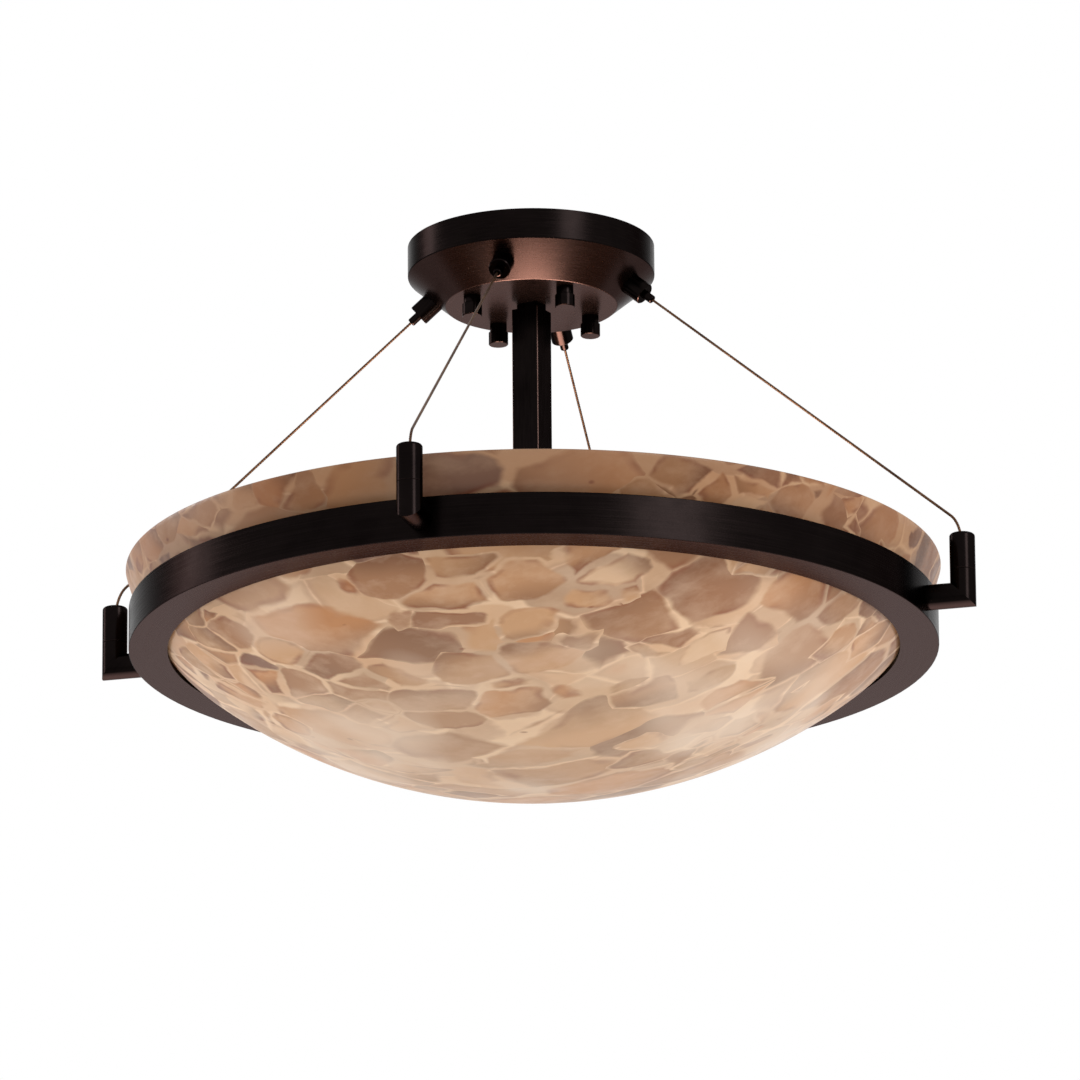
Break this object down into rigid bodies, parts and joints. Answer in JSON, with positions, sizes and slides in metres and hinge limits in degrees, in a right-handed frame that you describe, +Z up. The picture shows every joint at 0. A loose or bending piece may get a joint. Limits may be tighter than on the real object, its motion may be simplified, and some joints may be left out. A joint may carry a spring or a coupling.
{
  "type": "semi flush ceiling light",
  "caption": "Semi flush ceiling light: round canopy, square stem and a shallow cast stone-chip bowl in a dark bronze ring hung on taut steel cables.",
  "frame": {"origin": "centre of the two junction box screw slots, in the plane where the canopy meets the ceiling", "axes": "+Z up into the ceiling; the four cables run to -Y, +X, +Y and -X; the screw slots lie along X"},
  "size_m": [0.507, 0.507, 0.3148],
  "materials": {
    "dark_bronze": "dark bronze, satin, slightly brushed",
    "hub_paint": "white enamel",
    "plated_steel": "zinc plated",
    "ground_screw": "green",
    "brass": "drawn",
    "porcelain": "white glaze",
    "bulb_cap": "rolled thread",
    "bulb_glass": "frosted",
    "cable": "stranded, bronzed",
    "bowl": "cast resin with stone chips, satin"
  },
  "bodies": {
    "root": {"cable_1": "cable", "cable_2": "cable", "cable_3": "cable", "cable_4": "cable", "cable_stops": "plated_steel", "canopy": "dark_bronze", "canopy_cap_nuts": "dark_bronze", "canopy_studs": "plated_steel", "ceiling_plate": "plated_steel", "centre_contacts": "brass", "finial": "dark_bronze", "gripper_body_1": "dark_bronze", "gripper_body_2": "dark_bronze", "gripper_body_3": "dark_bronze", "gripper_body_4": "dark_bronze", "gripper_nuts": "plated_steel", "ground_screw": "ground_screw", "holder_lock_nuts": "plated_steel", "holder_nipples": "plated_steel", "lamp_hub": "hub_paint", "lamp_hub_cover": "hub_paint", "lampholder_1": "porcelain", "lampholder_2": "porcelain", "lampholder_3": "porcelain", "lower_lock_nut": "plated_steel", "lower_nipple": "plated_steel", "post_cap_1": "dark_bronze", "post_cap_2": "dark_bronze", "post_cap_3": "dark_bronze", "post_cap_4": "dark_bronze", "post_elbow_1": "dark_bronze", "post_elbow_2": "dark_bronze", "post_elbow_3": "dark_bronze", "post_elbow_4": "dark_bronze", "ring": "dark_bronze", "ring_screws": "plated_steel", "screw_shells": "brass", "stem_lower_plug": "plated_steel", "stem_neck": "dark_bronze", "stem_tube": "dark_bronze", "stem_upper_plug": "plated_steel", "upper_lock_nut": "plated_steel", "upper_nipple": "plated_steel", "upper_washer": "plated_steel"},
    "bowl": {"bowl": "bowl"},
    "release_plunger_1": {"release_plunger_1": "dark_bronze"},
    "release_plunger_2": {"release_plunger_2": "dark_bronze"},
    "release_plunger_3": {"release_plunger_3": "dark_bronze"},
    "release_plunger_4": {"release_plunger_4": "dark_bronze"},
    "bulb_1": {"bulb_cap_1": "bulb_cap", "bulb_glass_1": "bulb_glass"},
    "bulb_2": {"bulb_cap_2": "bulb_cap", "bulb_glass_2": "bulb_glass"},
    "bulb_3": {"bulb_cap_3": "bulb_cap", "bulb_glass_3": "bulb_glass"}
  },
  "joints": [
    {"name": "bowl_lift", "type": "slide", "parent": "root", "child": "bowl", "axis": [0, 0, 1], "range_m": [0, 0.016]},
    {"name": "plunger_1_press", "type": "slide", "parent": "root", "child": "release_plunger_1", "axis": [0, 0.7657, 0.6432], "range_m": [0, 0.0015], "stiffness_N_per_m": 900, "springref_m": -0.003},
    {"name": "plunger_2_press", "type": "slide", "parent": "root", "child": "release_plunger_2", "axis": [-0.7657, 0, 0.6432], "range_m": [0, 0.0015], "stiffness_N_per_m": 900, "springref_m": -0.003},
    {"name": "plunger_3_press", "type": "slide", "parent": "root", "child": "release_plunger_3", "axis": [0, -0.7657, 0.6432], "range_m": [0, 0.0015], "stiffness_N_per_m": 900, "springref_m": -0.003},
    {"name": "plunger_4_press", "type": "slide", "parent": "root", "child": "release_plunger_4", "axis": [0.7657, 0, 0.6432], "range_m": [0, 0.0015], "stiffness_N_per_m": 900, "springref_m": -0.003},
    {"name": "bulb_1_unscrew", "type": "slide", "parent": "root", "child": "bulb_1", "axis": [0, 1, 0], "range_m": [0, 0.025]},
    {"name": "bulb_2_unscrew", "type": "slide", "parent": "root", "child": "bulb_2", "axis": [-0.866, -0.5, 0], "range_m": [0, 0.025]},
    {"name": "bulb_3_unscrew", "type": "slide", "parent": "root", "child": "bulb_3", "axis": [0.866, -0.5, 0], "range_m": [0, 0.025]}
  ]
}
